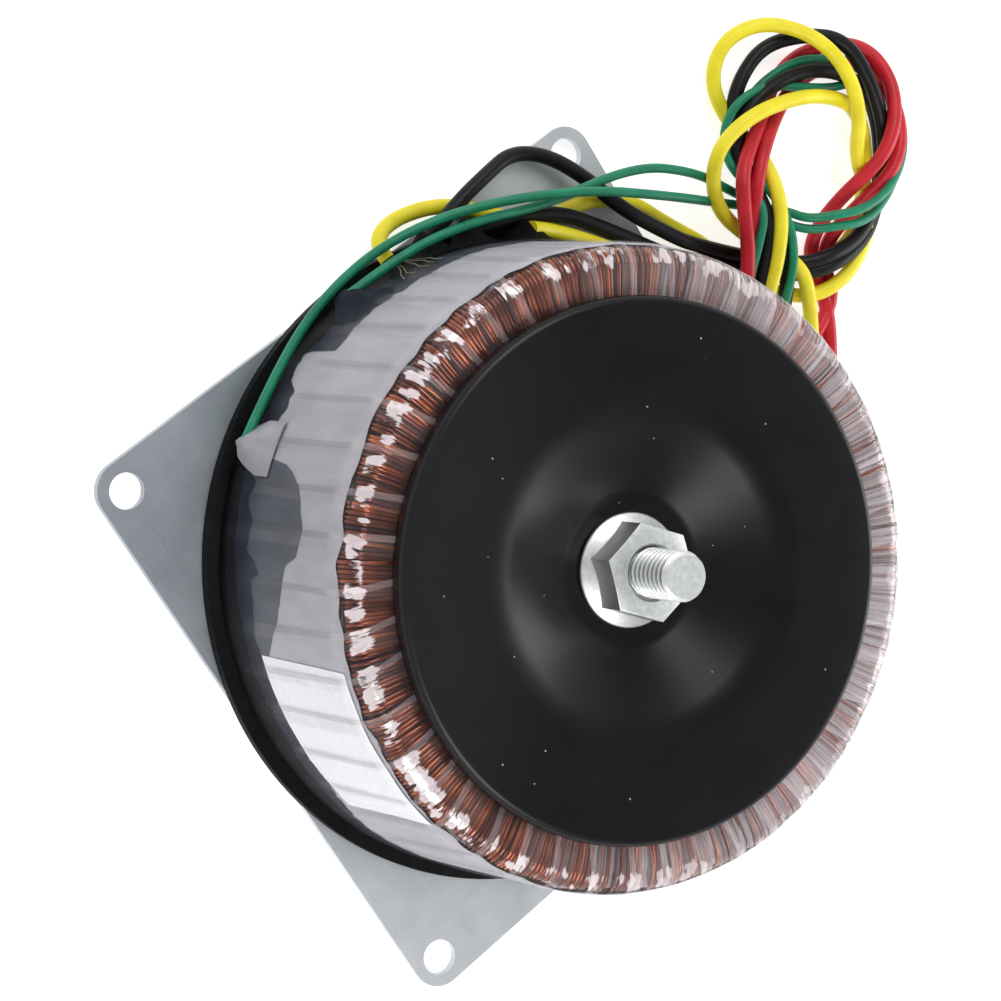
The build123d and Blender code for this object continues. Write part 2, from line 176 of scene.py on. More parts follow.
class Shader:
    """Builds one node material round a Principled shader."""

    def __init__(self, name, **constants):
        self.material = bpy.data.materials.new(name)
        self.material.use_nodes = True
        self.tree = self.material.node_tree
        self.surface = self.tree.nodes["Principled BSDF"]
        for key, value in constants.items():
            self.surface.inputs[key.replace("_", " ")].default_value = value

    def feed(self, socket, value):
        """Number, colour or other node's output into a socket."""
        if isinstance(value, bpy.types.NodeSocket):
            self.tree.links.new(value, socket)
        else:
            socket.default_value = value

    def node(self, kind, settings=None, **inputs):
        """Node with its inputs given by name, or by i and their number."""
        made = self.tree.nodes.new("ShaderNode" + kind)
        for key, value in (settings or {}).items():
            setattr(made, key, value)
        for key, value in inputs.items():
            numbered = key[0] == "i" and key[1:].isdigit()
            self.feed(made.inputs[int(key[1:]) if numbered else key.replace("_", " ")], value)
        return made

    def place(self):
        """Object coordinates in millimetres."""
        spot = self.node("TexCoord").outputs["Object"]
        scaled = self.node("VectorMath", {"operation": "SCALE"}, i0=spot, Scale=1 / MM)
        return scaled.outputs["Vector"]

    def math(self, operation, a, b=0.0, clamp=False):
        settings = {"operation": operation, "use_clamp": clamp}
        return self.node("Math", settings, i0=a, i1=b).outputs[0]

    def add(self, a, b, clamp=False):
        return self.math("ADD", a, b, clamp)

    def take(self, a, b, clamp=False):
        return self.math("SUBTRACT", a, b, clamp)

    def times(self, a, b, clamp=False):
        return self.math("MULTIPLY", a, b, clamp)

    def over(self, value, limit):
        """1 where the value is over the limit, else 0."""
        return self.math("GREATER_THAN", value, limit)

    def between(self, value, low, high):
        """1 where the value is between low and high, else 0."""
        return self.times(self.over(value, low), self.math("LESS_THAN", value, high))

    def smooth(self, value, low, high):
        """Smooth step from 0 at low to 1 at high."""
        settings = {"interpolation_type": "SMOOTHSTEP"}
        return self.node("MapRange", settings, Value=value, i1=low, i2=high).outputs[0]

    def scaled(self, value, low, high):
        """Range from 0..1 to low..high."""
        return self.node("MapRange", Value=value, i3=low, i4=high).outputs[0]

    def split(self, vector):
        return self.node("SeparateXYZ", Vector=vector).outputs

    def join(self, x, y=0.0):
        return self.node("CombineXYZ", X=x, Y=y).outputs[0]

    def dot(self, vector, axis):
        made = self.node("VectorMath", {"operation": "DOT_PRODUCT"}, i0=vector, i1=axis)
        return made.outputs["Value"]

    def stretch(self, vector, x, y, z):
        return self.node("Mapping", Vector=vector, Scale=(x, y, z)).outputs["Vector"]

    def noise(self, vector, scale, detail=3.0, roughness=0.5):
        made = self.node("TexNoise", Vector=vector, Scale=scale, Detail=detail, Roughness=roughness)
        return made.outputs["Fac"]

    def ramp(self, value, *stops):
        """Colour ramp from (position, colour) stops."""
        made = self.node("ValToRGB", Fac=value)
        elements = made.color_ramp.elements
        while len(elements) < len(stops):
            elements.new(0.5)
        for element, (position, colour) in zip(elements, stops):
            element.position = position
            element.color = (*colour, 1)
        return made.outputs["Color"]

    def mix(self, factor, a, b):
        """Colour a where the factor is 0, b where it is 1."""
        return self.node("Mix", {"data_type": "RGBA"}, i0=factor, i6=a, i7=b).outputs[2]

    def bump(self, height, distance, strength=1.0):
        made = self.node("Bump", Height=height, Distance=distance * MM, Strength=strength)
        self.drive(Normal=made.outputs["Normal"])

    def drive(self, **inputs):
        """Nodes' outputs into the Principled shader's sockets."""
        for key, value in inputs.items():
            self.tree.links.new(value, self.surface.inputs[key.replace("_", " ")])


LOOSE_SIDE = (0.64, 0.77, 0.0)


def side_of(s, place, low, high):
    """0 on the side of the dense turns to 1 on the side of the loose ones, the mask of the painted
    shade, highlight and reflection.
    """
    facing = s.node("VectorMath", {"operation": "NORMALIZE"}, i0=place).outputs[0]
    return s.smooth(s.dot(facing, LOOSE_SIDE), low, high)


def streaks(s, place, per_turn):
    """Radial streaks from noise on the angle about Z."""
    x, y, z = s.split(place)
    angle = s.math("ARCTAN2", y, x)
    return s.noise(s.join(s.times(angle, per_turn), s.times(z, 0.02)), 1.0, 3.0, 0.6)


def zinc_plate_material():
    """Satin zinc plating with clouds and faint rolling lines, and painted light that brightens two
    corners.
    """
    s = Shader("zinc_plate", Metallic=0.65)
    place = s.place()
    lines = s.noise(s.stretch(place, 0.02, 3.0, 0.02), 1.0, 2.0)
    tone = s.add(s.times(s.noise(place, 0.045, 5.0, 0.6), 0.8), s.times(lines, 0.2))
    plain = s.ramp(tone, (0.3, (0.31, 0.34, 0.375)), (0.7, (0.47, 0.505, 0.535)))
    bright = s.ramp(tone, (0.3, (0.58, 0.61, 0.63)), (0.7, (0.76, 0.79, 0.81)))
    # Painted light: the base colour turns brighter towards two corners of the plate.
    painted_light_corners = s.smooth(s.math("ABSOLUTE", s.dot(place, (1.0, -1.0, 0.0))), 25.0, 95.0)
    s.drive(Base_Color=s.mix(painted_light_corners, plain, bright))
    s.drive(Roughness=s.scaled(s.noise(place, 0.3, 4.0), 0.3, 0.46))
    s.bump(s.add(s.noise(place, 2.5, 4.0), lines), 0.03, 0.5)
    return s.material


def bright_zinc_material(name):
    """Bright zinc with fine machining marks, with painted shade in the grooves of the thread."""
    s = Shader(name, Metallic=1.0)
    place = s.place()
    marks = s.noise(s.stretch(place, 1.0, 1.0, 6.0), 1.2, 3.0)
    x, y, z = s.split(place)
    radius = s.node("VectorMath", {"operation": "LENGTH"}, i0=s.join(x, y)).outputs["Value"]
    # Painted shade: the grooves of the thread take a dark colour.
    groove_shade = s.node("MapRange", Value=radius, i1=3.95, i2=3.5).outputs[0]
    thread = s.between(z, 44.0, BOLT_TIP - 0.9)
    bright = s.ramp(marks, (0.3, (0.70, 0.72, 0.71)), (0.7, (0.88, 0.9, 0.88)))
    s.drive(Base_Color=s.mix(s.times(groove_shade, thread, True), bright, (0.16, 0.165, 0.17, 1)))
    s.drive(Roughness=s.scaled(s.noise(place, 1.1, 5.0, 0.65), 0.32, 0.56))
    s.bump(s.add(marks, s.noise(place, 3.0, 4.0)), 0.03, 0.5)
    return s.material


def rubber_material():
    """Black rubber, slightly dusty."""
    s = Shader("pad_rubber", Roughness=0.7, Specular_IOR_Level=0.15)
    place = s.place()
    dust = s.noise(place, 0.4, 6.0, 0.7)
    s.drive(Base_Color=s.ramp(dust, (0.35, (0.003, 0.003, 0.004)), (0.8, (0.010, 0.010, 0.011))))
    s.bump(s.noise(place, 3.0, 3.0), 0.05, 0.4)
    return s.material


def disc_material():
    """Satin black paint with fine orange peel and specks of dust, and a painted highlight that
    makes it paler on one side.
    """
    s = Shader("black_disc", IOR=1.31)
    place = s.place()
    spots = s.node("TexVoronoi", {"feature": "F1"}, Vector=place, Scale=0.33)
    near = s.math("LESS_THAN", spots.outputs["Distance"], 0.05)
    chance = s.node("SeparateColor", Color=spots.outputs["Color"]).outputs[0]
    speck = s.times(near, s.over(chance, 0.72))
    clouds = s.noise(place, 0.1, 4.0)
    paint = s.ramp(clouds, (0.3, (0.0028, 0.0027, 0.0036)), (0.7, (0.0048, 0.0046, 0.006)))
    # Painted highlight: paler paint on the side of the dense turns.
    paint = s.mix(side_of(s, place, -0.6, -0.2), (0.011, 0.0105, 0.0125, 1), paint)
    s.drive(Base_Color=s.mix(speck, paint, (0.35, 0.35, 0.34, 1)))
    s.drive(Roughness=s.scaled(s.noise(place, 0.25, 5.0), 0.27, 0.36))
    s.bump(s.noise(place, 1.6, 3.0), 0.02, 0.35)
    return s.material


def copper_material():
    """Enamelled copper wire, each turn a little different in tone."""
    s = Shader("copper_wire", Metallic=0.85, Coat_Weight=0.45, Coat_Roughness=0.1)
    turn = s.node("Attribute", {"attribute_name": "turn"}).outputs["Fac"]
    patch = s.noise(s.place(), 0.3, 2.0)
    tone = s.add(s.times(turn, 0.65), s.times(patch, 0.35))
    dark, middle, light = (0.03, 0.004, 0.002), (0.18, 0.034, 0.011), (0.5, 0.14, 0.048)
    s.drive(Base_Color=s.ramp(tone, (0.2, dark), (0.5, middle), (0.85, light)))
    s.drive(Roughness=s.scaled(patch, 0.22, 0.36))
    return s.material


def tape_material(name, low, high, roughness, specks=False, sheen=0.5):
    """Plastic tape with soft clouds and creases along the axis."""
    s = Shader(name, Roughness=roughness, Specular_IOR_Level=sheen)
    place = s.place()
    clouds = s.noise(s.stretch(place, 1.0, 1.0, 0.35), 0.25, 4.0, 0.55)
    colour = s.ramp(clouds, (0.3, low), (0.7, high))
    if specks:
        blue = s.over(s.noise(place, 0.55, 5.0, 0.7), 0.68)
        yellow = s.over(s.noise(s.stretch(place, 1.3, 0.8, 1.1), 0.5, 5.0, 0.7), 0.68)
        colour = s.mix(s.times(blue, 0.22), colour, (0.16, 0.18, 0.42, 1))
        colour = s.mix(s.times(yellow, 0.22), colour, (0.52, 0.42, 0.2, 1))
    s.drive(Base_Color=colour)
    s.bump(s.noise(s.stretch(place, 1.0, 1.0, 0.3), 0.5, 3.0), 0.12, 0.5)
    return s.material


def under_material():
    """Tape under the turns: pale and streaked, with painted shade between the dense turns."""
    s = Shader("under_tape", Roughness=0.35)
    place = s.place()
    shadow, dim, pale = (0.15, 0.065, 0.05), (0.36, 0.28, 0.28), (0.6, 0.56, 0.58)
    tape = s.ramp(streaks(s, place, 62.0), (0.34, shadow), (0.47, dim), (0.62, pale))
    # Painted shade: the tape turns dark on the side of the dense turns.
    s.drive(Base_Color=s.mix(side_of(s, place, -0.75, 0.0), (0.012, 0.005, 0.004, 1), tape))
    s.bump(streaks(s, place, 90.0), 0.15, 0.6)
    return s.material


# Where along its section (0 to 1) a strip of film bends over the rim, and the painted highlights
# sit
HIGHLIGHT_MIDDLE = 0.775
HIGHLIGHT_REACH = 0.092


def painted_highlights(s, place, u, v):
    """Patches of painted highlight where a strip of film spans the turns at the rim."""
    coarse = s.noise(s.join(s.times(u, 4.2), s.times(v, 4.5)), 1.0, 2.0, 0.5)
    fine = s.noise(s.join(s.times(u, 30.0), s.times(v, 14.0)), 1.0, 2.0, 0.5)
    region = s.times(s.take(s.noise(place, 0.035, 1.0), 0.5), 0.2)
    patches = s.add(s.add(s.times(coarse, 0.8), s.times(fine, 0.2)), region)
    drift = s.times(s.take(s.noise(place, 0.12, 2.0), 0.5), 0.07)
    away = s.math("ABSOLUTE", s.add(s.take(v, HIGHLIGHT_MIDDLE), drift))
    belt = s.times(s.take(1.0, s.math("DIVIDE", away, HIGHLIGHT_REACH), True), 2.2, True)
    field = s.add(patches, s.times(belt, 0.2))
    return s.times(s.smooth(field, 0.715, 0.765), s.over(belt, 0.03))


def film_material():
    """Clear polyester film: hazy on the wall and glossy at the rim, with painted shadow along the
    strips' edges, painted highlights at the rim and painted reflection over the top on the loose
    side.
    """
    s = Shader("clear_film", IOR=1.9)
    place = s.place()
    height = s.split(place)[2]
    u, v, _ = s.split(s.node("TexCoord").outputs["UV"])
    on_top = s.smooth(height, 40.5, 43.0)
    on_wall = s.smooth(height, 12.0, 20.0)
    loose = side_of(s, place, -0.35, 0.6)
    haze = s.noise(s.stretch(place, 1.0, 1.0, 0.4), 0.3, 4.0)
    painted_highlight = painted_highlights(s, place, u, v)

    # A strip takes the even unit of u, so half of u gives its number
    # Painted shadow: a dark line along each strip's edge, more opaque on the wall.
    edge = s.math("LESS_THAN", s.math("MODULO", u, 2.0), 0.11)
    strip = s.times(s.math("FLOOR", s.times(u, 0.5)), 3.7)
    # Painted reflection: pale lines and strips over the top on the loose side.
    pale_strip = s.over(s.noise(s.join(strip), 1.0, 0.0), 0.56)
    lines = s.node("MapRange", Value=streaks(s, place, 64.0), i1=0.35, i2=0.65, i3=0.0, i4=0.58)
    glare = s.add(lines.outputs[0], s.times(pale_strip, 0.16))

    wall = s.times(s.scaled(haze, 0.03, 0.14), on_wall)
    top = s.add(s.scaled(haze, 0.0, 0.04), s.times(loose, glare))
    cover = s.node("Mix", {"data_type": "FLOAT"}, i0=on_top, i2=wall, i3=top).outputs[0]
    cover = s.add(cover, s.times(edge, s.times(on_wall, 0.16)))
    cover = s.add(cover, s.times(painted_highlight, s.take(0.8, s.times(loose, 0.65))))
    s.drive(Alpha=s.add(cover, 0.02, True))
    colour = s.mix(edge, (0.36, 0.355, 0.38, 1), (0.1, 0.1, 0.115, 1))
    # Pale colour over the top: a little haze, and painted reflection on the loose side.
    colour = s.mix(on_top, colour, (0.62, 0.55, 0.57, 1))
    # Painted highlight: pale patches at the rim.
    s.drive(Base_Color=s.mix(painted_highlight, colour, (0.78, 0.68, 0.69, 1)))
    s.drive(Roughness=s.scaled(on_top, 0.3, 0.1))
    folds = s.noise(s.stretch(place, 1.0, 1.0, 0.5), 0.55, 3.0)
    s.bump(s.add(folds, s.times(s.noise(place, 1.6, 2.0), 0.3)), 0.25, 0.6)
    return s.material


def label_material():
    """Bare white label with a faint printed border."""
    s = Shader("label_paper", Roughness=0.4)
    u, v, _ = s.split(s.node("TexCoord").outputs["UV"])
    border = s.between(u, 0.045, 0.055)
    for value, low, high in ((u, 0.945, 0.955), (v, 0.04, 0.05), (v, 0.95, 0.96)):
        border = s.math("MAXIMUM", border, s.between(value, low, high))
    paper = s.ramp(s.noise(s.place(), 1.2, 4.0), (0.3, (0.7, 0.7, 0.73)), (0.7, (0.8, 0.8, 0.82)))
    s.drive(Base_Color=s.mix(s.times(border, 0.35), paper, (0.5, 0.5, 0.54, 1)))
    return s.material


def pvc_material(name, low, high, sheen=0.35):
    """Glossy PVC covering, a little uneven and rubbed."""
    s = Shader(name, Roughness=0.42, Specular_IOR_Level=sheen)
    place = s.place()
    s.drive(Base_Color=s.ramp(s.noise(place, 0.22, 4.0), (0.3, low), (0.75, high)))
    s.bump(s.noise(place, 0.9, 3.0), 0.05, 0.4)
    return s.material


def floor_material():
    """Plain pale floor that glows, so that it renders near white."""
    white = (1, 1, 1, 1)
    s = Shader("floor", Roughness=0.9, Base_Color=(0.6, 0.6, 0.6, 1), Specular_IOR_Level=0.1,
               Emission_Color=white, Emission_Strength=0.72)
    return s.material


ZINC_PLATE = zinc_plate_material()
ZINC_BOLT = bright_zinc_material("zinc_bolt")
RUBBER = rubber_material()
DISC = disc_material()
COPPER = copper_material()
FILM = film_material()
BAND = tape_material("grey_band", (0.27, 0.265, 0.295), (0.37, 0.36, 0.39), 0.45, specks=True)
NAVY = tape_material("navy_tape", (0.008, 0.010, 0.017), (0.018, 0.023, 0.038), 0.5, sheen=0.06)
SHADE = tape_material("shade_patch", (0.036, 0.04, 0.054), (0.07, 0.075, 0.098), 0.45, sheen=0.12)
BLACK_TAPE = tape_material("black_tape", (0.002, 0.002, 0.003), (0.005, 0.005, 0.006), 0.6,
                           sheen=0.08)
LOOSE_TAPE = tape_material("loose_tape", (0.22, 0.215, 0.24), (0.30, 0.295, 0.32), 0.45)
ENAMEL = pvc_material("enamel", (0.13, 0.13, 0.08), (0.26, 0.25, 0.16))
UNDER = under_material()
LABEL = label_material()
TINNED = bright_zinc_material("tinned_wire")
PVC = {
    "green": pvc_material("green_pvc", (0.004, 0.17, 0.085), (0.008, 0.24, 0.125)),
    "yellow": pvc_material("yellow_pvc", (0.72, 0.6, 0.012), (0.86, 0.75, 0.03)),
    "black": pvc_material("black_pvc", (0.004, 0.004, 0.005), (0.009, 0.009, 0.011), 0.2),
    "red": pvc_material("red_pvc", (0.42, 0.006, 0.014), (0.58, 0.012, 0.028)),
}


# Outer winding: single turns of wire in uneven bunches

WIRE_RADIUS = 0.39
WIRE_SIDES = 6
WIRE_PITCH = 0.83
TURN_BEND = 3.42
DENSE_SIDE = 222


def turn_profile(layer, lift):
    """One turn in its radial plane, dense where it shows beside the disc."""
    out = SHOULDER_CENTRE[0] + TURN_BEND + 0.3 * lift
    top = WOUND_TOP - WIRE_RADIUS - 0.15 + lift
    low = WOUND_BASE + WIRE_RADIUS + 0.1
    bore = WINDING_BORE + WIRE_RADIUS + 0.1 + 0.75 * layer
    shoulder = arc(SHOULDER_CENTRE, TURN_BEND + 0.3 * lift, 84, 0, 7)
    return [
        (bore, 25), (bore, 36), (bore + 2.5, top - 3.5 - 0.5 * layer),
        (bore + 9, top - 0.75 * layer), (37, top - 0.3 * layer),
        (41.5, top), (44.2, top + 0.12), (46.2, top + 0.3),
        *shoulder,
        (out, 25), (out, low + 4), (out - 2.5, low), (38, low), (bore + 8, low + 0.6 * layer),
        (bore + 1.5, low + 4 + 0.6 * layer), (bore, 14),
    ]


def bunch_plan():
    """Middle angle and number of turns of each bunch, crowded on the dense side."""
    chance = random.Random(11)
    plan = []
    angle = 0.0
    while angle < 358:
        crowded = math.cos(math.radians(angle - DENSE_SIDE)) > 0.1
        size = round(chance.uniform(9, 14) if crowded else chance.uniform(2, 8))
        gap = chance.uniform(0.15, 0.5) if crowded else chance.uniform(0.7, 2.4)
        width = size * WIRE_PITCH + gap
        plan.append((angle + width / 2, size))
        angle += width
    spare = 360 / angle
    return [(middle * spare, size) for middle, size in plan]


def copper_turns():
    """All the turns as one mesh, with a tone for each turn."""
    chance = random.Random(5)
    points, faces, tones = [], [], []
    for middle, size in bunch_plan():
        bunch_lean = chance.uniform(-1.8, 1.8)
        for turn in range(size):
            offset = turn - (size - 1) / 2
            angle = middle + offset * WIRE_PITCH + chance.uniform(-0.1, 0.1)
            lean = bunch_lean + chance.uniform(-0.5, 0.5)
            stray = chance.random() < 0.06
            lift = chance.uniform(-0.12, 0.1) - 0.01 * offset ** 2 + (0.35 if stray else 0)
            lean += chance.choice((-2.5, 2.5)) if stray else 0
            profile = turn_profile(turn % 3, lift)
            tone = min(max(chance.gauss(0.5, 0.22), 0), 1)
            base = len(points)
            count = len(profile)
            for i, (r, z) in enumerate(profile):
                before, after = profile[i - 1], profile[(i + 1) % count]
                slope = Vector((after[0] - before[0], after[1] - before[1])).normalized()
                swing = angle + lean * blend(50 - r, 0, 30)
                turned = math.radians(swing)
                radial = Vector((math.cos(turned), math.sin(turned), 0))
                side = Vector((-math.sin(turned), math.cos(turned), 0))
                normal = radial * slope[1] - Vector((0, 0, slope[0]))
                centre = radial * r + Vector((0, 0, z))
                for k in range(WIRE_SIDES):
                    a = 2 * math.pi * k / WIRE_SIDES
                    spoke = normal * math.cos(a) + side * math.sin(a)
                    points.append(centre + spoke * WIRE_RADIUS)
                    tones.append(tone)
            for face in grid_faces(count, WIRE_SIDES, True, True):
                faces.append(tuple(base + v for v in reversed(face)))
    piece = add_mesh("copper_turns", points, faces, COPPER)
    attribute = piece.data.attributes.new("turn", "FLOAT", "POINT")
    attribute.data.foreach_set("value", tones)
    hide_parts("secondary_winding")


def under_layer():
    """Tape seen in the gaps between the bunches."""
    out = WINDING_RADIUS - 1.15
    top = WOUND_TOP - 1.05
    shoulder = arc((out - RIM_ROUND, top - RIM_ROUND), RIM_ROUND, 0, 90, 6)
    profile = [(out, 30), *shoulder, (44, top), (40, top), (30, top)]
    steps = 288
    points = []
    for s in range(steps):
        angle = 360 * s / steps
        for r, z in profile:
            swell = 0.25 * noise.noise(Vector(ring_point(r, angle, z)) * 0.35)
            points.append(ring_point(r, angle, z + swell))
    piece = add_mesh("under_tape", points, grid_faces(steps, len(profile), True), UNDER)


# Side wall: grey band, dark tape, label and lapped clear strips

WALL_FOOT, WALL_HEIGHT, WALL_TAPER = 8, 34, 1.35
TAPE_FOOT = 4.2

# How far each layer stands off the band
SHADE_LIFT, NAVY_LIFT, BLACK_LIFT, LABEL_LIFT = 0.05, 0.08, 0.12, 0.14
FILM_LIFT, FLAP_LIFT = 0.36, 0.42


def wall_radius(z, lift=0.0):
    """Radius of the band on the side wall, thicker towards the base."""
    return WALL_RADIUS - (z - WALL_FOOT) / WALL_HEIGHT * WALL_TAPER + lift


def wall_swell(angle, z):
    """Soft dents that the band and all the layers on it share."""
    return 0.16 * wobble(angle, z * 0.4, 7.0)


def band_section(low, rows, end_angle):
    """Section from a height near the base, up the wall and on to the shoulder."""
    start = SHOULDER_CENTRE[1]
    heights = [low + (start - low) * i / rows for i in range(rows)]
    reach = wall_radius(start) - SHOULDER_CENTRE[0]
    return [(wall_radius(z), z) for z in heights] + arc(SHOULDER_CENTRE, reach, 0, end_angle, 5)


def grey_band():
    """Insulating band round the wall, its top edge uneven over the turns."""
    steps = 480
    points = []
    for s in range(steps):
        angle = 360 * s / steps
        end = 22 + 12 * noise.noise(Vector(ring_point(14, angle, 3)))
        for r, z in band_section(5.0, 16, end):
            points.append(ring_point(r + wall_swell(angle, z), angle, z))
    piece = add_mesh("grey_band", points, grid_faces(steps, len(points) // steps, True), BAND)
    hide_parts("side_band")


# Upper edges of the dark tape and of the shaded patch: (angle, height)
DARK_EDGE = [
    (0, 9), (40, 11), (80, 9.5), (120, 12), (150, 17), (165, 19.5), (178, 20), (183.5, 18),
    (191, 19.3), (194, 18.7), (194.6, 9.2), (200.5, 10.6), (203, 14.3), (209.8, 14.3),
    (210.4, 9), (215.4, 9.6), (219.8, 13.3), (223, 12.2), (226.7, 14.7), (231.8, 14.4),
    (235.8, 17.9), (237, 15.2), (240.3, 15.4), (247.2, 14.6), (251.3, 15.6), (258, 15.9),
    (266, 16.2), (275, 16.4), (283, 14), (290, 11), (330, 10), (360, 9),
]
BLACK_EDGE = [
    (0, 8), (120, 8), (165, 11), (192, 11), (196, 8), (215, 8.6), (235, 9.8), (250, 10.5),
    (262, 11.5), (278, 11.5), (300, 8), (360, 8),
]
PATCH_EDGE = [
    (214.5, 10), (215.7, 17), (216.4, 22.5), (219.2, 27.6), (222.5, 30.3), (227.4, 32.1),
    (232.1, 31.1), (233.6, 27), (237.8, 25.9), (243, 23.7), (247.7, 20), (252, 16.5), (256, 14),
]


def edged_shell(name, material, lift, low, edge, first, last, ragged):
    """Thin layer of tape on the wall between a low height and an irregular edge."""
    closed = last - first >= 360
    steps = int(2 * (last - first))
    columns = steps if closed else steps + 1
    rows = 10
    points = []
    for c in range(columns):
        angle = first + (last - first) * c / steps
        tear = wobble(angle, 7, 1.7, 9.0) + 0.6 * wobble(angle, 5, 0.6, 4.0)
        high = max(along(edge, angle % 360) + ragged * tear, low + 0.2)
        for r in range(rows):
            z = low + (high - low) * r / (rows - 1)
            points.append(ring_point(wall_radius(z, lift) + wall_swell(angle, z), angle, z))
    piece = add_mesh(name, points, grid_faces(columns, rows, closed), material)


LABEL_FIRST, LABEL_LAST = 250.5, 282.0


def bare_label():
    """White label under the film."""
    columns, rows = 48, 20
    points, uvs = [], []
    for c in range(columns + 1):
        u = c / columns
        for r in range(rows):
            v = r / (rows - 1)
            angle = LABEL_FIRST + (LABEL_LAST - LABEL_FIRST) * u + 0.9 * (v - 0.5)
            low, high = 15.6 + 1.2 * u, 43.2 + 0.6 * u
            z = low + (high - low) * v
            ripple = 0.05 * wobble(angle, z, 3.0, 2.0)
            radius = wall_radius(z, LABEL_LIFT) + wall_swell(angle, z) + ripple
            points.append(ring_point(radius, angle, z))
            uvs.append((u, v))
    piece = add_mesh("bare_label", points, grid_faces(columns + 1, rows, False), LABEL, uvs=uvs)


STRIPS = 45
STRIP_WIDTH = 9.6
FILM_BEND = 4.16
UNDER_DISC = 46.58
FLAT_TOP, FLAT_BASE = 46.3, 5


def strip_section():
    """Section of the film: from under the base, up the wall and over the top."""
    low = WOUND_BASE + 0.35
    base = [(44, low), (48, low), *arc((50.6, low + 2.8), 2.8, -90, -10, 5)]
    wall = [(wall_radius(z, FILM_LIFT), z) for z in (9, 13, 17, 21, 25, 29, 33, 37)]
    wall.append((wall_radius(40.5, 0.28), 40.5))
    shoulder = arc(SHOULDER_CENTRE, FILM_BEND, 0, 78, 7)
    top = [(46.6, 46.9), (45.2, 46.74), (44, UNDER_DISC), (42.5, 46.48), (40, 46.44)]
    return base + wall + shoulder + top


def film_outward(r, z):
    """Unit vector away from the film's inside at a point of its section."""
    if z > FLAT_TOP:
        return Vector((0, 1))
    if z < FLAT_BASE:
        return Vector((0, -1))
    if z < SHOULDER_CENTRE[1]:
        return Vector((1, 0))
    return Vector((r - SHOULDER_CENTRE[0], z - SHOULDER_CENTRE[1])).normalized()


def film_strips():
    """Clear film wrapped in lapped strips over the wall and the turns."""
    chance = random.Random(21)
    section = strip_section()
    rows, columns = len(section), 9
    points, faces, uvs = [], [], []
    for strip in range(STRIPS):
        middle = strip * 360 / STRIPS + chance.uniform(-0.5, 0.5)
        slant = chance.uniform(-1.6, 1.6)
        curve = chance.uniform(0.2, 1.4)
        seed = chance.uniform(0, 50)
        base = len(points)
        for c in range(columns):
            u = c / (columns - 1)
            for i, (r, z) in enumerate(section):
                v = i / (rows - 1)
                width = STRIP_WIDTH * (1 + 0.06 * noise.noise(Vector((seed, v * 3, 0))))
                across = (u - 0.5) * width + slant * (v - 0.5) + curve * math.sin(math.pi * v)
                angle = middle + math.degrees(across / r)
                lap = 0.08 * (1 - u)
                crease = 0.07 * noise.noise(Vector((across * 0.35 + seed, v * 9, seed)))
                dent = noise.noise(Vector(ring_point(r, angle, 0)) * 0.28)
                shift = film_outward(r, z) * (lap + crease + 0.12 * blend(z, 42, 46) * dent)
                height = z + shift[1]
                if r < DISC_RADIUS + 0.3:
                    height = min(height, UNDER_DISC)
                points.append(ring_point(r + shift[0], angle, height))
                uvs.append((2 * strip + u, v))
        for face in grid_faces(columns, rows, False):
            faces.append(tuple(base + k for k in face))
    piece = add_mesh("film_strips", points, faces, FILM, uvs=uvs)
    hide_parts("film_wrap")


# Enamelled ends of the winding, which run to the first yellow lead: each a route
# of (radius, angle, height)
JOINTS = [
    [(55.2, 171.1, 6.8), (54.3, 171.0, 9.0), (53.6, 171.3, 11.2),
     (53.4, 172.3, 13.2), (53.4, 173.2, 15.0), (53.3, 172.8, 17.0)],
    [(55.3, 171.0, 7.1), (54.2, 170.0, 9.4), (53.6, 169.4, 11.8),
     (53.4, 170.0, 14.0), (53.4, 170.8, 15.6), (53.3, 169.9, 17.4)],
    [(55.1, 171.0, 6.5), (54.1, 169.6, 8.4), (53.6, 168.0, 10.4),
     (53.4, 167.5, 12.6), (53.4, 168.6, 14.8), (53.3, 168.3, 16.6)],
    [(55.2, 170.9, 6.9), (54.2, 171.6, 9.6), (53.7, 172.4, 12.0),
     (53.5, 173.6, 13.6), (53.4, 174.6, 15.8), (53.3, 175.2, 17.6)],
    [(55.1, 170.8, 6.9), (54.0, 169.0, 8.8), (53.6, 166.9, 10.6),
     (53.4, 166.3, 12.8), (53.4, 167.2, 15.0), (53.3, 166.6, 16.8)],
]


def lead_joints():
    """Enamelled ends as thin round wires on the tape."""
    routes = [[ring_point(*spot) for spot in joint] for joint in JOINTS]
    piece = add_tubes("enamelled_ends", routes, 0.1, 8, 2, ENAMEL)


def tape_flap(name, first, last, low, high, reach, material):
    """Torn end of the wall's tape, lifted over a lead where it comes out."""
    columns, rows = 20, 12
    points = []
    for c in range(columns + 1):
        u = c / columns
        angle = first + (last - first) * u
        lifted = math.sin(math.pi * u) ** 2
        ragged = 1.3 * noise.noise(Vector((u * 7, low, 0)))
        tear = low + ragged + (high - low) * 0.5 * blend(abs(u - 0.5), 0.25, 0.6)
        for r in range(rows + 1):
            v = r / rows
            z = tear + (high - tear) * v
            bulge = reach * (lifted * (1 - blend(v, 0.2, 1.0)))
            points.append(ring_point(wall_radius(z, FLAP_LIFT) + bulge, angle, z))
    piece = add_mesh(name, points, grid_faces(columns + 1, rows + 1, False), material)


# Cover disc, bolt and nut

SEAT_BEND, DISH_BEND, RIM_BEND = 5.0, 15.0, 1.3
BOLT_HOLE = 4.2


